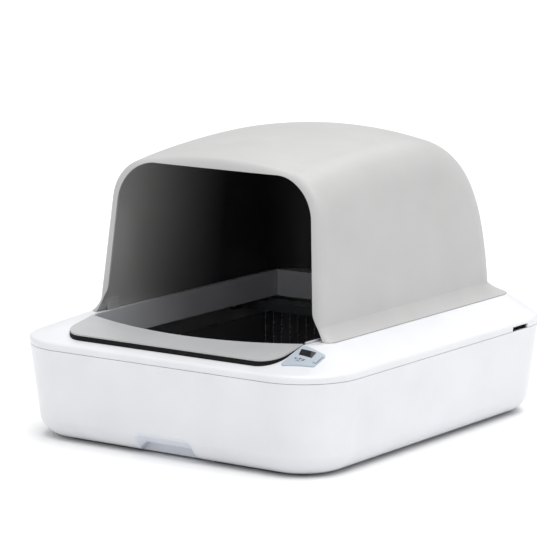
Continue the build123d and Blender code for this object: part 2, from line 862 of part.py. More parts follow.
def all_parts():
    """Every piece by its name, in the order that it goes together."""
    return {
        "litter_tray": litter_tray(),
        "lower_shell": lower_shell(),
        "grip_pocket": grip_pocket(),
        "feet": feet(),
        "top_cover": top_cover(),
        "cover_screws": cover_screws(),
        "side_rail_left": side_rail(-1),
        "side_rail_right": side_rail(1),
        "rear_liner": rear_liner(),
        "waste_lid": waste_lid(),
        "lid_hinge_pins": lid_hinge_pins(),
        "lid_gasket": lid_gasket(),
        "screw_bearings": screw_bearings(),
        "guide_rod_blocks": guide_rod_blocks(),
        "lead_screw": lead_screw(),
        "guide_rod": guide_rod(),
        "screw_gear": screw_gear(),
        "motor_pinion": motor_pinion(),
        "output_shaft": output_shaft(),
        "gearbox_case": gearbox_case(),
        "drive_motor": drive_motor(),
        "rake_beam": rake_beam(),
        "rake_tines": rake_tines(),
        "screw_nut": collar(1),
        "guide_bush": collar(-1),
        "control_board": control_board(),
        "display_board": display_board(),
        "limit_switches": limit_switches(),
        "power_inlet": power_inlet(),
        "entry_sensor": entry_sensor(),
        "control_panel": control_panel(),
        "display_lens": display_lens(),
        "control_button": control_button(),
        "button_switch": button_switch(),
        "hood_shell": hood_shell(),
        "hood_latch_left": hood_latch(-1),
        "hood_latch_right": hood_latch(1),
    }


if __name__ == "__main__":
    os.makedirs("parts", exist_ok=True)
    for name, made in all_parts().items():
        export_step(made, f"parts/{name}.step")
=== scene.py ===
"""Cat litter box with a hood: finishes, fine detail, lights and camera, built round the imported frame."""
import math

import bmesh
import bpy
from bpy.props import FloatProperty, FloatVectorProperty, PointerProperty
from mathutils import Matrix, Vector
from mathutils.bvhtree import BVHTree


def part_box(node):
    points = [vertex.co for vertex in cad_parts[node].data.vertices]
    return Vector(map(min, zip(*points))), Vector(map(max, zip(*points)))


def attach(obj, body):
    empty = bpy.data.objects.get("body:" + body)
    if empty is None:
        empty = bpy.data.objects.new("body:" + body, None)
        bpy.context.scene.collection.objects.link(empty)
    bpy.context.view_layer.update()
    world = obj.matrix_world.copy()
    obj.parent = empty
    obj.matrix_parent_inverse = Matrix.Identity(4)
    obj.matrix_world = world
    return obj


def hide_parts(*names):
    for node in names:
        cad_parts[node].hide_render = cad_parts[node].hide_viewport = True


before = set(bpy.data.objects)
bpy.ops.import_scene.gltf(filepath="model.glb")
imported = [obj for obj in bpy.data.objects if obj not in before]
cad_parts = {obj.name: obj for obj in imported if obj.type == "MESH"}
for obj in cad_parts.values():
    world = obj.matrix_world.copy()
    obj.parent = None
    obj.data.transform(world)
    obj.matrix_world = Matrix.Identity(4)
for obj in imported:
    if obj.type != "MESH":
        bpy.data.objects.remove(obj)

bl_info = {
    "name": "Cat Litter Box",
    "version": (1, 0, 0),
    "blender": (4, 5, 0),
    "location": "View3D > Sidebar > Litter Box",
    "description": "Finishes and fine detail for a hooded cat litter box",
    "category": "Object",
}

MM = 0.001

# Lengths are in metres and angles in degrees, unless a name or a comment says otherwise.
WELD_DISTANCE = 1e-6
SHARP_ANGLE = 35

# Painted shade: the hood's inner faces get darker from just behind the lip to deep inside.
HOOD_HEART = (0.0, 30 * MM, 200 * MM)
INNER_SHADE_START = 5 * MM
INNER_SHADE_END = 260 * MM

FLOOR_REACH = 40.0
WORLD_STRENGTH = 0.62
LIGHT_TARGET = Vector((0, 0, 180 * MM))
LIGHT_DISTANCE = 4.0

CAMERA_LENS = 205.7
CAMERA_AZIMUTH = 35.27
CAMERA_ELEVATION = 10.23
CAMERA_DISTANCE = 4.08499
CAMERA_LEFT = 10.15 * MM
CAMERA_RISE = 180.11 * MM

THREAD_PITCH = 4 * MM
THREAD_LEAD = 24 * MM
THREAD_DEPTH = 0.55 * MM
THREAD_STEP = 0.8 * MM
THREAD_FRONT_MARGIN = 12 * MM
THREAD_REAR_MARGIN = 26 * MM
ROD_END_CUT = 0.4 * MM

MOTOR_BANDS = (9 * MM, 12 * MM, 44 * MM)
BAND_RISE = 0.3 * MM
TERMINAL_OFFSET = 9 * MM
GEARBOX_SCREW_RADIUS = 2.2 * MM

# Board parts in millimetres from the board's low corner: places, then widths, lengths and heights.
CHIPS = ((10, 8, 9, 9, 1.4), (20, 20, 5, 6, 1.6), (12, 22, 6, 4, 1.8), (24, 6, 4, 7, 1.2))
CONNECTORS = (2, 9)
CONNECTOR_INSET = 0.6
CONNECTOR_SIZE = (6, 4.5, 5)
CAPACITORS = ((6, 24), (28, 17))

PIN_RADIUS = 0.95 * MM
PIN_LENGTH = 8.0 * MM
PIN_ROOT = 10 * MM

LID_SLOPE = 10.2
LID_RIB_LOW = (-0.8 * MM, -11 * MM, -2.4 * MM)
LID_RIB_HIGH = (0.8 * MM, 11 * MM, 0.3 * MM)
LID_RIB_SETBACK = 21 * MM
LID_RIB_DROP = 2.05 * MM

# Strokes of the printed symbols, in millimetres from their middle: a hook, an arrow, a box and a bar.
STROKES = ((-6.5, 2.2, -6.5, -1.0), (-6.5, -1.0, -4.4, -1.6), (-4.4, -1.6, -2.4, -0.6),
           (0.0, 2.6, 0.0, -1.8), (-1.6, 1.0, 0.0, 2.6), (1.6, 1.0, 0.0, 2.6),
           (3.6, 2.2, 3.6, -1.4), (5.4, 2.2, 5.4, -1.4), (3.6, 2.2, 5.4, 2.2),
           (3.6, -1.4, 5.4, -1.4), (-2.6, -4.4, 2.8, -4.4))
STROKE_HALF_WIDTH = 0.45 * MM
STROKE_TIP = 0.3 * MM
STROKE_STEPS = 4
INK_LIFT = 0.05 * MM
INK_THICKNESS = 0.08 * MM

LENS_OFFSET = 6 * MM
LENS_RADIUS = 4.2 * MM
LENS_STEP = 0.6 * MM
LENS_BULGE = 1.4 * MM

FACING_FRONT = (math.pi / 2, 0.0, 0.0)


# ---- places read from the frame ----
def corners(node):
    """A node's lowest and highest corners as vectors."""
    low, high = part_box(node)
    return Vector(low), Vector(high)


# ---- settings that a user would change ----
class LitterBoxSizes(bpy.types.PropertyGroup):
    """Sizes of the fine detail."""
    edge_softness: FloatProperty(name="Edge softness", description="Radius of the moulded edges",
                                 default=0.7 * MM, unit="LENGTH")


def colour_property(name, description, default):
    return FloatVectorProperty(name=name, description=description, default=default, subtype="COLOR",
                               size=3, min=0.0, max=1.0)


class LitterBoxColours(bpy.types.PropertyGroup):
    """Colours of the mouldings."""
    housing: colour_property("Housing", "White of the lower shell and cover", (0.72, 0.73, 0.757))
    hood: colour_property("Hood", "Grey of the hood", (0.47, 0.47, 0.467))
    # Painted shade: this near-black colour is laid on the hood's inner faces to stand in for the shade inside
    # the hood.
    inner_shade: colour_property("Lining", "Dark grey of the hood's inner faces", (0.030, 0.026, 0.028))
    pocket: colour_property("Pocket", "Blue grey of the finger pocket", (0.70, 0.725, 0.79))
    lid: colour_property("Lid", "Grey of the waste lid", (0.45, 0.455, 0.46))
    panel: colour_property("Panel", "Blue grey of the control panel", (0.42, 0.475, 0.535))
    liner: colour_property("Liner", "Grey of the inner walls", (0.62, 0.625, 0.66))
    tray: colour_property("Tray", "Grey of the litter tray", (0.12, 0.12, 0.13))
    rake: colour_property("Rake", "Dark grey of the rake", (0.07, 0.075, 0.08))
    seal: colour_property("Seal", "Black of the seals and feet", (0.006, 0.0055, 0.006))


# ---- shader building ----
class Shader:
    """A small helper that adds and links nodes in one material."""

    def __init__(self, name):
        self.material = bpy.data.materials.new(name)
        self.material.use_nodes = True
        self.tree = self.material.node_tree
        self.tree.nodes.clear()
        self.surface = self.add("ShaderNodeBsdfPrincipled")
        output = self.add("ShaderNodeOutputMaterial")
        self.link(self.surface.outputs["BSDF"], output.inputs["Surface"])
        self.place = self.add("ShaderNodeTexCoord").outputs["Object"]

    @classmethod
    def of(cls, material):
        """Takes up a material that another recipe has made."""
        taken = cls.__new__(cls)
        taken.material = material
        taken.tree = material.node_tree
        taken.surface = next(n for n in taken.tree.nodes if n.type == "BSDF_PRINCIPLED")
        taken.place = taken.add("ShaderNodeTexCoord").outputs["Object"]
        return taken

    def add(self, kind, **settings):
        node = self.tree.nodes.new(kind)
        for key, value in settings.items():
            setattr(node, key, value)
        return node

    def link(self, source, target):
        self.tree.links.new(source, target)

    def noise(self, size, detail=2.0):
        """Noise whose features are about size metres across."""
        node = self.add("ShaderNodeTexNoise")
        node.inputs["Scale"].default_value = 1.0 / size
        node.inputs["Detail"].default_value = detail
        self.link(self.place, node.inputs["Vector"])
        return node.outputs["Fac"]

    def remap(self, value, low, high, from_low=0.3, from_high=0.7):
        """Takes a value from one range, which suits noise, to another, and holds it there."""
        node = self.add("ShaderNodeMapRange")
        node.inputs["From Min"].default_value = from_low
        node.inputs["From Max"].default_value = from_high
        node.inputs["To Min"].default_value = low
        node.inputs["To Max"].default_value = high
        self.link(value, node.inputs["Value"])
        return node.outputs["Result"]

    def math(self, operation, first, second):
        """One sum of two values, each a number or a socket."""
        node = self.add("ShaderNodeMath", operation=operation)
        for slot, value in enumerate((first, second)):
            if isinstance(value, (int, float)):
                node.inputs[slot].default_value = value
            else:
                self.link(value, node.inputs[slot])
        return node.outputs[0]

    def mix(self, amount, first, second):
        """A colour between two, each a colour or a socket."""
        node = self.add("ShaderNodeMix", data_type="RGBA")
        self.link(amount, node.inputs["Factor"])
        for slot, value in ((6, first), (7, second)):
            if isinstance(value, bpy.types.NodeSocket):
                self.link(value, node.inputs[slot])
            else:
                node.inputs[slot].default_value = (*value, 1.0)
        return node.outputs[2]

    def edges(self, radius):
        """How sharply the surface turns here, from 0 on a flat to 1 on an edge."""
        bevel = self.add("ShaderNodeBevel", samples=4)
        bevel.inputs["Radius"].default_value = radius
        plain = self.add("ShaderNodeNewGeometry").outputs["Normal"]
        dot = self.add("ShaderNodeVectorMath", operation="DOT_PRODUCT")
        self.link(bevel.outputs["Normal"], dot.inputs[0])
        self.link(plain, dot.inputs[1])
        return self.remap(dot.outputs["Value"], 1.0, 0.0, 0.75, 0.995), bevel.outputs["Normal"]

    def bump(self, height, depth, under):
        """Relief that is depth metres deep, on top of the normal under it."""
        node = self.add("ShaderNodeBump")
        node.inputs["Distance"].default_value = depth
        self.link(height, node.inputs["Height"])
        self.link(under, node.inputs["Normal"])
        return node.outputs["Normal"]

    def set(self, **values):
        """Sets the surface's inputs, each to a value or a socket."""
        names = {"colour": "Base Color", "roughness": "Roughness", "metallic": "Metallic", "ior": "IOR",
                 "coat": "Coat Weight", "coat_roughness": "Coat Roughness", "specular": "Specular IOR Level",
                 "normal": "Normal"}
        for key, value in values.items():
            target = self.surface.inputs[names[key]]
            if isinstance(value, bpy.types.NodeSocket):
                self.link(value, target)
            elif key == "colour":
                target.default_value = (*value, 1.0)
            else:
                target.default_value = value


def scaled(colour, factor):
    return tuple(min(1.0, c * factor) for c in colour)


def moulded_plastic(name, colour, roughness=0.38, grain=0.9 * MM, depth=0.012 * MM, shade=0.03, wear=0.5,
                    edge=0.8 * MM, coat=0.0):
    """Injection moulded plastic: faint mottling, a fine texture, and edges that have been rubbed."""
    s = Shader(name)
    edge_mask, soft = s.edges(edge)
    patches = s.noise(70 * MM, 3.0)
    base = s.mix(s.remap(patches, 0.0, 1.0), scaled(colour, 1 - shade), scaled(colour, 1 + shade))
    rubbed = s.noise(6 * MM, 3.0)
    wear_mask = s.math("MULTIPLY", edge_mask, s.remap(rubbed, 0.0, wear))
    s.set(colour=s.mix(wear_mask, base, scaled(colour, 1.18)))
    handling = s.noise(18 * MM, 4.0)
    rough = s.remap(handling, roughness - 0.05, roughness + 0.06)
    s.set(roughness=s.math("SUBTRACT", rough, s.math("MULTIPLY", wear_mask, 0.12)), ior=1.5)
    s.set(coat=coat, coat_roughness=0.12)
    s.set(normal=s.bump(s.noise(grain, 1.0), depth, soft))
    return s.material


def paint_inner_shade(material, colour, heart, depth_start, depth_end):
    """Paints shade on the faces that look at the middle of the hood: they turn to the painted shade colour,
    more fully the deeper they lie behind the lip.
    """
    s = Shader.of(material)
    base = s.surface.inputs["Base Color"].links[0].from_socket
    away = s.add("ShaderNodeVectorMath", operation="SUBTRACT")
    s.link(s.place, away.inputs[0])
    away.inputs[1].default_value = heart
    facing = s.add("ShaderNodeVectorMath", operation="DOT_PRODUCT")
    s.link(away.outputs["Vector"], facing.inputs[0])
    s.link(s.add("ShaderNodeNewGeometry").outputs["True Normal"], facing.inputs[1])
    inner = s.remap(facing.outputs["Value"], 0.0, 1.0, 0.002, -0.002)
    split = s.add("ShaderNodeSeparateXYZ")
    s.link(s.place, split.inputs["Vector"])
    behind = s.remap(split.outputs["Y"], 0.0, 1.0, depth_start, depth_end)
    mottle = s.remap(s.noise(60 * MM, 3.0), 0.9, 1.1)
    shade_tone = s.mix(mottle, scaled(colour, 0.85), scaled(colour, 1.15))
    # The painted shade is strongest on inward-facing faces far behind the lip.
    s.set(colour=s.mix(s.math("MULTIPLY", inner, behind), base, shade_tone))


def soft_rubber(name, colour, roughness=0.62):
    """Rubber with a fine dull grain and a little dust."""
    s = Shader(name)
    edge_mask, soft = s.edges(0.5 * MM)
    dust = s.remap(s.noise(5 * MM, 4.0), 0.0, 0.5, 0.45, 0.75)
    base = s.mix(dust, colour, scaled(colour, 2.0))
    s.set(colour=s.mix(s.math("MULTIPLY", edge_mask, 0.3), base, scaled(colour, 2.0)), specular=0.15)
    s.set(roughness=s.remap(s.noise(8 * MM), roughness - 0.08, roughness + 0.1), ior=1.48)
    s.set(normal=s.bump(s.noise(0.5 * MM, 1.0), 0.02 * MM, soft))
    return s.material


def turned_metal(name, colour, roughness=0.25):
    """Bare metal with a fine ground grain and duller patches."""
    s = Shader(name)
    edge_mask, soft = s.edges(0.3 * MM)
    patches = s.noise(9 * MM, 3.0)
    s.set(colour=s.mix(s.remap(patches, 0.0, 1.0), scaled(colour, 0.86), scaled(colour, 1.06)), metallic=1.0)
    rough = s.remap(s.noise(3 * MM, 4.0), roughness - 0.06, roughness + 0.12)
    s.set(roughness=s.math("SUBTRACT", rough, s.math("MULTIPLY", edge_mask, 0.08)))
    s.set(normal=s.bump(s.noise(0.3 * MM), 0.004 * MM, soft))
    return s.material


def smoked_window(name, colour):
    """A smoked gloss window with faint fingerprints."""
    s = Shader(name)
    smear = s.noise(7 * MM, 5.0)
    s.set(colour=s.mix(s.remap(smear, 0.0, 1.0), scaled(colour, 0.8), scaled(colour, 1.3)))
    s.set(roughness=s.remap(smear, 0.04, 0.16), ior=1.52, coat=0.6, coat_roughness=0.03)
    s.set(normal=s.bump(s.noise(30 * MM, 1.0), 0.02 * MM, s.edges(0.5 * MM)[1]))
    return s.material


def give(node, material):
    """Puts one material on every slot of a CAD node."""
    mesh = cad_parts[node].data
    if not mesh.materials:
        mesh.materials.append(material)
    for index in range(len(mesh.materials)):
        mesh.materials[index] = material


# ---- making pieces ----
def piece(name, points, faces, material, body, slot):
    """A finished mesh piece that rides on a body."""
    mesh = bpy.data.meshes.new(name)
    mesh.from_pydata([tuple(p) for p in points], [], faces)
    return finish_piece(name, mesh, material, body)


def finish_piece(name, mesh, material, body):
    """Cleans a mesh, gives it its material and its shading, and sets it on its body."""
    shape = bmesh.new()
    shape.from_mesh(mesh)
    bmesh.ops.remove_doubles(shape, verts=shape.verts, dist=WELD_DISTANCE)
    bmesh.ops.recalc_face_normals(shape, faces=shape.faces)
    shape.to_mesh(mesh)
    shape.free()
    mesh.materials.clear()
    mesh.materials.append(material)
    made = bpy.data.objects.new(name, mesh)
    bpy.context.scene.collection.objects.link(made)
    mesh.shade_smooth()
    mesh.set_sharp_from_angle(angle=math.radians(SHARP_ANGLE))
    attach(made, body)
    return made


def chamfered_box(low, high, cut):
    """Points and faces of a box whose edges are cut off."""
    shape = bmesh.new()
    bmesh.ops.create_cube(shape, size=1.0)
    size = Vector(high) - Vector(low)
    centre = (Vector(high) + Vector(low)) / 2
    for vertex in shape.verts:
        vertex.co = Vector(a * b for a, b in zip(vertex.co, size)) + centre
    bmesh.ops.bevel(shape, geom=shape.edges[:], offset=cut, segments=2, profile=0.5, affect="EDGES")
    shape.verts.index_update()
    points = [v.co.copy() for v in shape.verts]
    faces = [[v.index for v in face.verts] for face in shape.faces]
    shape.free()
    return points, faces


def gather(parts):
    """Joins several (points, faces) pairs in one."""
    points, faces = [], []
    for part_points, part_faces in parts:
        start = len(points)
        points += part_points
        faces += [[start + index for index in face] for face in part_faces]
    return points, faces


def thickened(points, faces, thickness):
    """Closes a sheet of faces into a thin solid under it."""
    below = [point - Vector((0, 0, thickness)) for point in points]
    count = len(points)
    closed = faces + [[count + index for index in face][::-1] for face in faces]
    edges = dict.fromkeys((a, b) for face in faces for a, b in zip(face, face[1:] + face[:1]))
    closed += [[b, a, count + a, count + b] for a, b in edges if (b, a) not in edges]
    return points + below, closed


def tube_faces(rings, segments):
    """Faces of a tube whose points lie ring after ring, with both ends closed."""
    faces = []
    for ring in range(rings - 1):
        for step in range(segments):
            after = (step + 1) % segments
            a, b = ring * segments, (ring + 1) * segments
            faces.append([a + step, a + after, b + after, b + step])
    faces.append(list(range(segments))[::-1])
    faces.append(list(range((rings - 1) * segments, rings * segments)))
    return faces


def lathe(profile, place, axis, segments=24):
    """Turns (along, radius) pairs round an axis through place."""
    turn = Vector(axis).to_track_quat("Z", "Y")
    points = []
    for along, radius in profile:
        for step in range(segments):
            angle = 2 * math.pi * step / segments
            local = Vector((radius * math.cos(angle), radius * math.sin(angle), along))
            points.append(Vector(place) + turn @ local)
    return points, tube_faces(len(profile), segments)


def screw_shape(radius):
    """A pan head with a cross recess, pointing along +Z from its seat. Its rings are shares of the radius."""
    segments = 24
    rings = ((1.0, 0.0), (1.0, 0.25), (0.86, 0.5), (0.55, 0.62), (0.32, 0.64), (0.12, 0.64))
    recess = 0.3
    points = []
    for share, height in rings:
        for step in range(segments):
            angle = 2 * math.pi * step / segments
            in_cross = step % (segments // 4) == 0 and share < 0.6
            sunk = recess if in_cross or share < 0.2 else height
            points.append(Vector((share * radius * math.cos(angle), share * radius * math.sin(angle),
                                  sunk * radius)))
    return points, tube_faces(len(rings), segments)


# ---- repeats ----
def repeat_tree(material):
    """Geometry nodes that set one shape on every point, turned as the point says."""
    tree = bpy.data.node_groups.new("Repeat Shape", "GeometryNodeTree")
    face = tree.interface
    face.new_socket("Geometry", in_out="INPUT", socket_type="NodeSocketGeometry")
    face.new_socket("Shape", in_out="INPUT", socket_type="NodeSocketObject")
    size = face.new_socket("Shape Scale", in_out="INPUT", socket_type="NodeSocketFloat")
    size.default_value = 1.0
    face.new_socket("Geometry", in_out="OUTPUT", socket_type="NodeSocketGeometry")
    start = tree.nodes.new("NodeGroupInput")
    end = tree.nodes.new("NodeGroupOutput")
    info = tree.nodes.new("GeometryNodeObjectInfo")
    turn = tree.nodes.new("GeometryNodeInputNamedAttribute")
    turn.data_type = "FLOAT_VECTOR"
    turn.inputs["Name"].default_value = "turn"
    euler = tree.nodes.new("FunctionNodeEulerToRotation")
    scatter = tree.nodes.new("GeometryNodeInstanceOnPoints")
    real = tree.nodes.new("GeometryNodeRealizeInstances")
    paint = tree.nodes.new("GeometryNodeSetMaterial")
    paint.inputs["Material"].default_value = material
    link = tree.links.new
    link(start.outputs["Geometry"], scatter.inputs["Points"])
    link(start.outputs["Shape"], info.inputs["Object"])
    link(info.outputs["Geometry"], scatter.inputs["Instance"])
    link(turn.outputs["Attribute"], euler.inputs["Euler"])
    link(euler.outputs["Rotation"], scatter.inputs["Rotation"])
    link(start.outputs["Shape Scale"], scatter.inputs["Scale"])
    link(scatter.outputs["Instances"], real.inputs["Geometry"])
    link(real.outputs["Geometry"], paint.inputs["Geometry"])
    link(paint.outputs["Geometry"], end.inputs["Geometry"])
    return tree


def repeated(name, shape, places, material, body, scale=1.0):
    """One mesh with the shape at every (place, turn)."""
    pattern = bpy.data.objects.new(name + "_shape", bpy.data.meshes.new(name + "_shape"))
    pattern.data.from_pydata([tuple(p) for p in shape[0]], [], shape[1])
    cloud = bpy.data.meshes.new(name + "_points")
    cloud.from_pydata([tuple(place) for place, _ in places], [], [])
    turns = cloud.attributes.new("turn", "FLOAT_VECTOR", "POINT")
    for index, (_, turn) in enumerate(places):
        turns.data[index].vector = turn
    holder = bpy.data.objects.new(name + "_points", cloud)
    bpy.context.scene.collection.objects.link(pattern)
    bpy.context.scene.collection.objects.link(holder)
    modifier = holder.modifiers.new("repeat", "NODES")
    modifier.node_group = repeat_tree(material)
    sockets = {item.name: item.identifier for item in modifier.node_group.interface.items_tree
               if item.in_out == "INPUT"}
    modifier[sockets["Shape"]] = pattern
    modifier[sockets["Shape Scale"]] = scale
    graph = bpy.context.evaluated_depsgraph_get()
    mesh = bpy.data.meshes.new_from_object(holder.evaluated_get(graph), depsgraph=graph)
    holder.modifiers.clear()
    bpy.data.objects.remove(holder)
    bpy.data.objects.remove(pattern)
    if not mesh.polygons:
        raise RuntimeError(name + " came out empty")
    mesh.name = name
    return finish_piece(name, mesh, material, body)


# ---- stage ----
def look_from(azimuth, elevation):
    """The unit vector from the object towards a viewer."""
    a, e = math.radians(azimuth), math.radians(elevation)
    return Vector((math.sin(a) * math.cos(e), -math.cos(a) * math.cos(e), math.sin(e)))


def broad_light(name, azimuth, elevation, spread, strength):
    """A light from far away that reaches the whole floor evenly. Its softness is its spread in degrees."""
    data = bpy.data.lights.new(name, "SUN")
    data.angle = math.radians(spread)
    data.energy = strength
    made = bpy.data.objects.new(name, data)
    bpy.context.scene.collection.objects.link(made)
    away = look_from(azimuth, elevation)
    made.location = LIGHT_TARGET + away * LIGHT_DISTANCE
    made.rotation_euler = away.to_track_quat("Z", "Y").to_euler()


class LITTERBOX_OT_stage(bpy.types.Operator):
    """Adds the floor, the lights and the camera"""
    bl_idname = "litterbox.stage"
    bl_label = "Stage"

    def execute(self, context):
        scene = context.scene
        floor = bpy.data.meshes.new("floor")
        reach = FLOOR_REACH
        rim = [(-reach, -reach, 0), (reach, -reach, 0), (reach, reach, 0), (-reach, reach, 0)]
        floor.from_pydata(rim, [], [(0, 1, 2, 3)])
        plane = bpy.data.objects.new("floor", floor)
        scene.collection.objects.link(plane)
        s = Shader("pale_floor")
        mottle = s.remap(s.noise(400 * MM), 0.0, 1.0)
        s.set(colour=s.mix(mottle, (0.90, 0.90, 0.905), (0.93, 0.93, 0.932)), roughness=0.85, specular=0.2)
        floor.materials.append(s.material)

        world = bpy.data.worlds.new("studio")
        scene.world = world
        world.use_nodes = True
        sky = world.node_tree.nodes["Background"]
        sky.inputs["Color"].default_value = (1.0, 1.0, 1.0, 1.0)
        sky.inputs["Strength"].default_value = WORLD_STRENGTH
        broad_light("key_light", azimuth=62, elevation=70, spread=55, strength=2.0)
        broad_light("back_light", azimuth=200, elevation=55, spread=40, strength=0.8)

        camera = bpy.data.cameras.new("camera")
        camera.sensor_width = 36.0
        camera.lens = CAMERA_LENS
        camera.clip_end = 100.0
        back = look_from(CAMERA_AZIMUTH, CAMERA_ELEVATION)
        right = Vector((back.y, -back.x, 0)).normalized() * -1
        up = back.cross(right)
        place = back * CAMERA_DISTANCE - right * CAMERA_LEFT + up * CAMERA_RISE
        made = bpy.data.objects.new("camera", camera)
        scene.collection.objects.link(made)
        turn = Matrix((right, up, back)).transposed()
        made.matrix_world = Matrix.Translation(place) @ turn.to_4x4()
        scene.camera = made
        scene.view_settings.view_transform = "Standard"
        return {"FINISHED"}


# ---- finishes of the CAD nodes ----
class LITTERBOX_OT_finishes(bpy.types.Operator):
    """Gives every CAD node its material"""
    bl_idname = "litterbox.finishes"
    bl_label = "Finishes"

    def execute(self, context):
        c = context.scene.litterbox_colours
        edge = context.scene.litterbox_sizes.edge_softness
        white = moulded_plastic("white_plastic", c.housing, 0.34, edge=edge, coat=0.15)
        hood = moulded_plastic("hood_plastic", c.hood, 0.46, edge=edge)
        lip = corners("hood_shell")[0].y
        # Paints shade on the hood's inner faces, darker deeper inside.
        paint_inner_shade(hood, c.inner_shade, HOOD_HEART, lip + INNER_SHADE_START, lip + INNER_SHADE_END)
        pocket = moulded_plastic("pocket_plastic", c.pocket, 0.4, edge=edge)
        lid = moulded_plastic("lid_plastic", c.lid, 0.42, grain=0.7 * MM, depth=0.02 * MM, edge=edge)
        panel = moulded_plastic("panel_plastic", c.panel, 0.4, edge=0.4 * MM)
        liner = moulded_plastic("liner_plastic", c.liner, 0.5, depth=0.03 * MM, edge=edge)
        tray = moulded_plastic("tray_plastic", c.tray, 0.45, depth=0.03 * MM, edge=edge)
        rake = moulded_plastic("rake_plastic", c.rake, 0.48, depth=0.03 * MM, edge=edge)
        black = moulded_plastic("black_plastic", (0.02, 0.02, 0.022), 0.45, edge=0.4 * MM)
        natural = moulded_plastic("natural_plastic", (0.72, 0.69, 0.60), 0.4, edge=0.3 * MM)
        board = moulded_plastic("board_laminate", (0.015, 0.12, 0.05), 0.3, grain=0.4 * MM, edge=0.2 * MM,
                                coat=0.4)
        rubber = soft_rubber("black_rubber", c.seal)
        steel = turned_metal("ground_steel", (0.62, 0.62, 0.63))
        wire = turned_metal("wire_steel", (0.66, 0.66, 0.67), 0.2)
        brass = turned_metal("turned_brass", (0.60, 0.42, 0.16), 0.3)
        can = turned_metal("motor_can", (0.42, 0.43, 0.44), 0.38)
        window = smoked_window("smoked_window", (0.02, 0.021, 0.023))
        finishes = {
            white: ["lower_shell", "top_cover"],
            pocket: ["grip_pocket"],
            hood: ["hood_shell", "hood_latch_left", "hood_latch_right"],
            lid: ["waste_lid"],
            panel: ["control_panel", "control_button"],
            liner: ["side_rail_left", "side_rail_right", "rear_liner"],
            tray: ["litter_tray"],
            rake: ["rake_beam"],
            black: ["gearbox_case", "limit_switches", "power_inlet", "button_switch", "entry_sensor"],
            natural: ["screw_bearings", "guide_rod_blocks", "screw_gear", "motor_pinion", "guide_bush"],
            board: ["control_board", "display_board"],
            rubber: ["lid_gasket", "feet"],
            steel: ["lead_screw", "guide_rod", "output_shaft", "lid_hinge_pins", "cover_screws"],
            wire: ["rake_tines"],
            brass: ["screw_nut"],
            can: ["drive_motor"],
            window: ["display_lens"],
        }
        for material, nodes in finishes.items():
            for node in nodes:
                give(node, material)
        return {"FINISHED"}


# ---- fine pieces ----
class LITTERBOX_OT_drive_detail(bpy.types.Operator):
    """Adds the drive screw's thread, the motor's ends and the drive's screws"""
    bl_idname = "litterbox.drive_detail"
    bl_label = "Drive Detail"

    def execute(self, context):
        self.add_thread()
        self.add_motor_ends()
        self.add_gearbox_screws()
        return {"FINISHED"}

    def add_thread(self):
        """The screw with its rolled thread, which takes the plain rod's place."""
        low, high = corners("lead_screw")
        x, z = (low.x + high.x) / 2, (low.z + high.z) / 2
        crest = (high.x - low.x) / 2
        start = corners("screw_bearings")[0].y + THREAD_FRONT_MARGIN
        end = high.y - THREAD_REAR_MARGIN
        steps = int((end - start) / THREAD_STEP)
        stations = [low.y, low.y + ROD_END_CUT]
        stations += [start + (end - start) * k / steps for k in range(steps + 1)]
        stations += [high.y - ROD_END_CUT, high.y]
        segments = 24
        points = []
        for y in stations:
            run_in = min(max((y - start) / THREAD_PITCH, 0.0), 1.0)
            run_out = min(max((end - y) / THREAD_PITCH, 0.0), 1.0)
            end_cut = ROD_END_CUT if y in (low.y, high.y) else 0.0
            for step in range(segments):
                share = step / segments
                phase = (share * THREAD_LEAD - y) / THREAD_PITCH
                wave = 0.5 + 0.5 * math.cos(2 * math.pi * phase)
                radius = crest - end_cut - run_in * run_out * THREAD_DEPTH * wave ** 0.6
                angle = 2 * math.pi * share
                points.append((x + radius * math.cos(angle), y, z + radius * math.sin(angle)))
        thread = piece("screw_thread", points, tube_faces(len(stations), segments),
                       bpy.data.materials["ground_steel"], "lead_screw", "rod_steel")
        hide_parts("lead_screw")

    def add_motor_ends(self):
        """The rolled bands round the motor's can and the two solder tabs at its end."""
        low, high = corners("drive_motor")
        radius = (high.z - low.z) / 2
        centre = Vector((low.x, (low.y + high.y) / 2, (low.z + high.z) / 2))
        crown = radius + BAND_RISE
        profile = [(0, radius), (0.15 * MM, crown), (1.3 * MM, crown), (1.45 * MM, radius)]
        bands = [lathe(profile, centre + Vector((along, 0, 0)), (1, 0, 0), 48) for along in MOTOR_BANDS]
        piece("motor_bands", *gather(bands), bpy.data.materials["motor_can"], "housing", "motor_can")

        tabs = []
        for side in (-1, 1):
            middle = centre + Vector((0, side * TERMINAL_OFFSET, 0))
            tabs.append(chamfered_box(middle + Vector((-0.6, -1.5, -0.4)) * MM,
                                      middle + Vector((4, 1.5, 0.4)) * MM, 0.15 * MM))
        piece("motor_terminals", *gather(tabs), bpy.data.materials["turned_brass"], "housing", "nut_brass")

    def add_gearbox_screws(self):
        """Four screws near the corners of the gearbox's front."""
        low, high = corners("gearbox_case")
        heads = []
        for across in (0.12, 0.88):
            for up in (0.14, 0.86):
                place = (low.x + across * (high.x - low.x), low.y, low.z + up * (high.z - low.z))
                heads.append((place, FACING_FRONT))
        repeated("gearbox_screws", screw_shape(GEARBOX_SCREW_RADIUS), heads,
                 bpy.data.materials["ground_steel"], "housing")


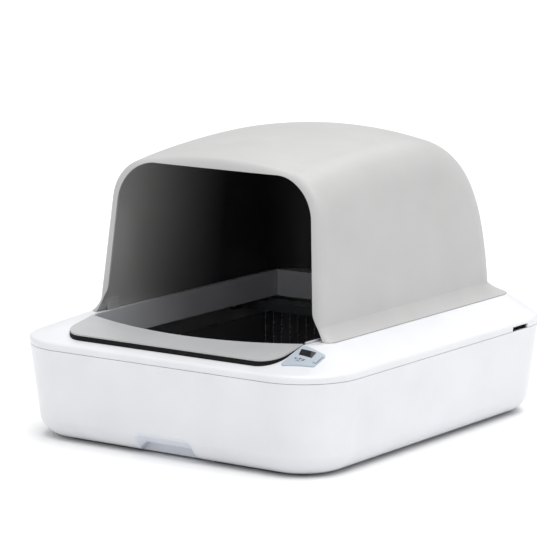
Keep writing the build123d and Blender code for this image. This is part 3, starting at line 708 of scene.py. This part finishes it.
class LITTERBOX_OT_board_detail(bpy.types.Operator):
    """Adds the parts on the control board and the pin in the power socket"""
    bl_idname = "litterbox.board_detail"
    bl_label = "Board Detail"

    def execute(self, context):
        low, high = corners("control_board")
        floor = Vector((low.x, low.y, high.z))
        chips = []
        for x, y, *size in CHIPS:
            corner = floor + Vector((x, y, 0)) * MM
            chips.append(chamfered_box(corner, corner + Vector(size) * MM, 0.2 * MM))
        piece("board_chips", *gather(chips), bpy.data.materials["black_plastic"], "housing", "switch_plastic")

        plugs = []
        for x in CONNECTORS:
            corner = floor + Vector((x, CONNECTOR_INSET, 0)) * MM
            plugs.append(chamfered_box(corner, corner + Vector(CONNECTOR_SIZE) * MM, 0.3 * MM))
        piece("board_connectors", *gather(plugs), bpy.data.materials["natural_plastic"], "housing",
              "bearing_plastic")

        profile = [(0, 2.4 * MM), (5.0 * MM, 2.5 * MM), (5.4 * MM, 2.2 * MM)]
        cans = [lathe(profile, floor + Vector((x, y, 0)) * MM, (0, 0, 1)) for x, y in CAPACITORS]
        piece("board_capacitors", *gather(cans), bpy.data.materials["motor_can"], "housing", "motor_can")

        low, high = corners("power_inlet")
        root = ((low.x + high.x) / 2, high.y - PIN_ROOT, (low.z + high.z) / 2)
        taper = PIN_LENGTH - 1.0 * MM
        profile = [(0, PIN_RADIUS), (taper, PIN_RADIUS), (PIN_LENGTH, PIN_RADIUS - 0.4 * MM)]
        pin = lathe(profile, root, (0, 1, 0), 16)
        piece("socket_pin", *pin, bpy.data.materials["ground_steel"], "housing", "pin_steel")
        return {"FINISHED"}


class LITTERBOX_OT_lid_detail(bpy.types.Operator):
    """Adds the ribs under the waste lid"""
    bl_idname = "litterbox.lid_detail"
    bl_label = "Lid Detail"

    def execute(self, context):
        low, high = corners("waste_lid")
        slope = math.radians(LID_SLOPE)
        rib = chamfered_box(LID_RIB_LOW, LID_RIB_HIGH, 0.25 * MM)
        y = low.y + LID_RIB_SETBACK
        under = high.z - (high.y - y) * math.tan(slope) - LID_RIB_DROP
        places = [((x * MM, y, under), (slope, 0.0, 0.0)) for x in range(-120, 121, 30)]
        repeated("lid_ribs", rib, places, bpy.data.materials["lid_plastic"], "waste_lid")
        return {"FINISHED"}


class LITTERBOX_OT_panel_detail(bpy.types.Operator):
    """Prints plain symbols on the control panel and sets the entry sensor's lenses"""
    bl_idname = "litterbox.panel_detail"
    bl_label = "Panel Detail"

    def execute(self, context):
        self.print_symbols()
        self.add_lenses()
        return {"FINISHED"}

    def print_symbols(self):
        """Thin strokes of ink that follow the panel's slope."""
        shape = bmesh.new()
        shape.from_mesh(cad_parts["control_panel"].data)
        surface = BVHTree.FromBMesh(shape)
        shape.free()
        low, high = corners("control_panel")

        def laid(x, y):
            hit = surface.ray_cast(Vector((x, y, high.z + 20 * MM)), Vector((0, 0, -1)))[0]
            if hit is None:
                raise RuntimeError("a printed symbol falls off the panel")
            return hit + Vector((0, 0, INK_LIFT))

        centre = Vector((low.x + 15 * MM, low.y + 20 * MM))
        strokes = []
        for x0, y0, x1, y1 in STROKES:
            a = centre + Vector((x0, y0)) * MM
            b = centre + Vector((x1, y1)) * MM
            side = (b - a).orthogonal().normalized() * STROKE_HALF_WIDTH
            tip = (b - a).normalized() * STROKE_TIP
            rows = [a - tip + (b - a + 2 * tip) * k / STROKE_STEPS for k in range(STROKE_STEPS + 1)]
            points = [laid(*(row + side * sign)) for row in rows for sign in (-1, 1)]
            faces = [[2 * k, 2 * k + 1, 2 * k + 3, 2 * k + 2] for k in range(STROKE_STEPS)]
            strokes.append((points, faces))
        ink = moulded_plastic("printed_ink", (0.012, 0.013, 0.016), 0.5, edge=0.1 * MM)
        piece("panel_symbols", *thickened(*gather(strokes), INK_THICKNESS), ink, "housing", "switch_plastic")

    def add_lenses(self):
        """Two domed lenses on the front of the entry sensor."""
        low, high = corners("entry_sensor")
        centre = Vector(((low.x + high.x) / 2, low.y, (low.z + high.z) / 2))
        crown = LENS_RADIUS - 0.6 * MM
        turns = [math.radians(a) for a in (0, 18, 36, 54, 72, 86)]
        dome = [(0, LENS_RADIUS), (LENS_STEP, LENS_RADIUS)]
        dome += [(LENS_STEP + LENS_BULGE * math.sin(t), crown * math.cos(t)) for t in turns]
        domes = [lathe(dome, centre + Vector((side * LENS_OFFSET, 0, 0)), (0, -1, 0), 28) for side in (-1, 1)]
        piece("sensor_lenses", *gather(domes), bpy.data.materials["smoked_window"], "housing", "display_lens")


class LITTERBOX_PT_panel(bpy.types.Panel):
    """Lists the steps that build the looks"""
    bl_idname = "LITTERBOX_PT_panel"
    bl_label = "Litter Box"
    bl_space_type = "VIEW_3D"
    bl_region_type = "UI"
    bl_category = "Litter Box"

    def draw(self, context):
        for operator in OPERATORS:
            self.layout.operator(operator.bl_idname)


OPERATORS = (LITTERBOX_OT_finishes, LITTERBOX_OT_drive_detail, LITTERBOX_OT_board_detail,
             LITTERBOX_OT_lid_detail, LITTERBOX_OT_panel_detail, LITTERBOX_OT_stage)
GROUPS = (LitterBoxSizes, LitterBoxColours)


def register():
    for made in GROUPS + OPERATORS + (LITTERBOX_PT_panel,):
        bpy.utils.register_class(made)
    bpy.types.Scene.litterbox_sizes = PointerProperty(type=LitterBoxSizes)
    bpy.types.Scene.litterbox_colours = PointerProperty(type=LitterBoxColours)


def unregister():
    del bpy.types.Scene.litterbox_colours
    del bpy.types.Scene.litterbox_sizes
    for made in reversed(GROUPS + OPERATORS + (LITTERBOX_PT_panel,)):
        bpy.utils.unregister_class(made)


def main():
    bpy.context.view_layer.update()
    register()
    for operator in OPERATORS:
        group, name = operator.bl_idname.split(".")
        getattr(getattr(bpy.ops, group), name)()


if __name__ == "__main__":
    main()
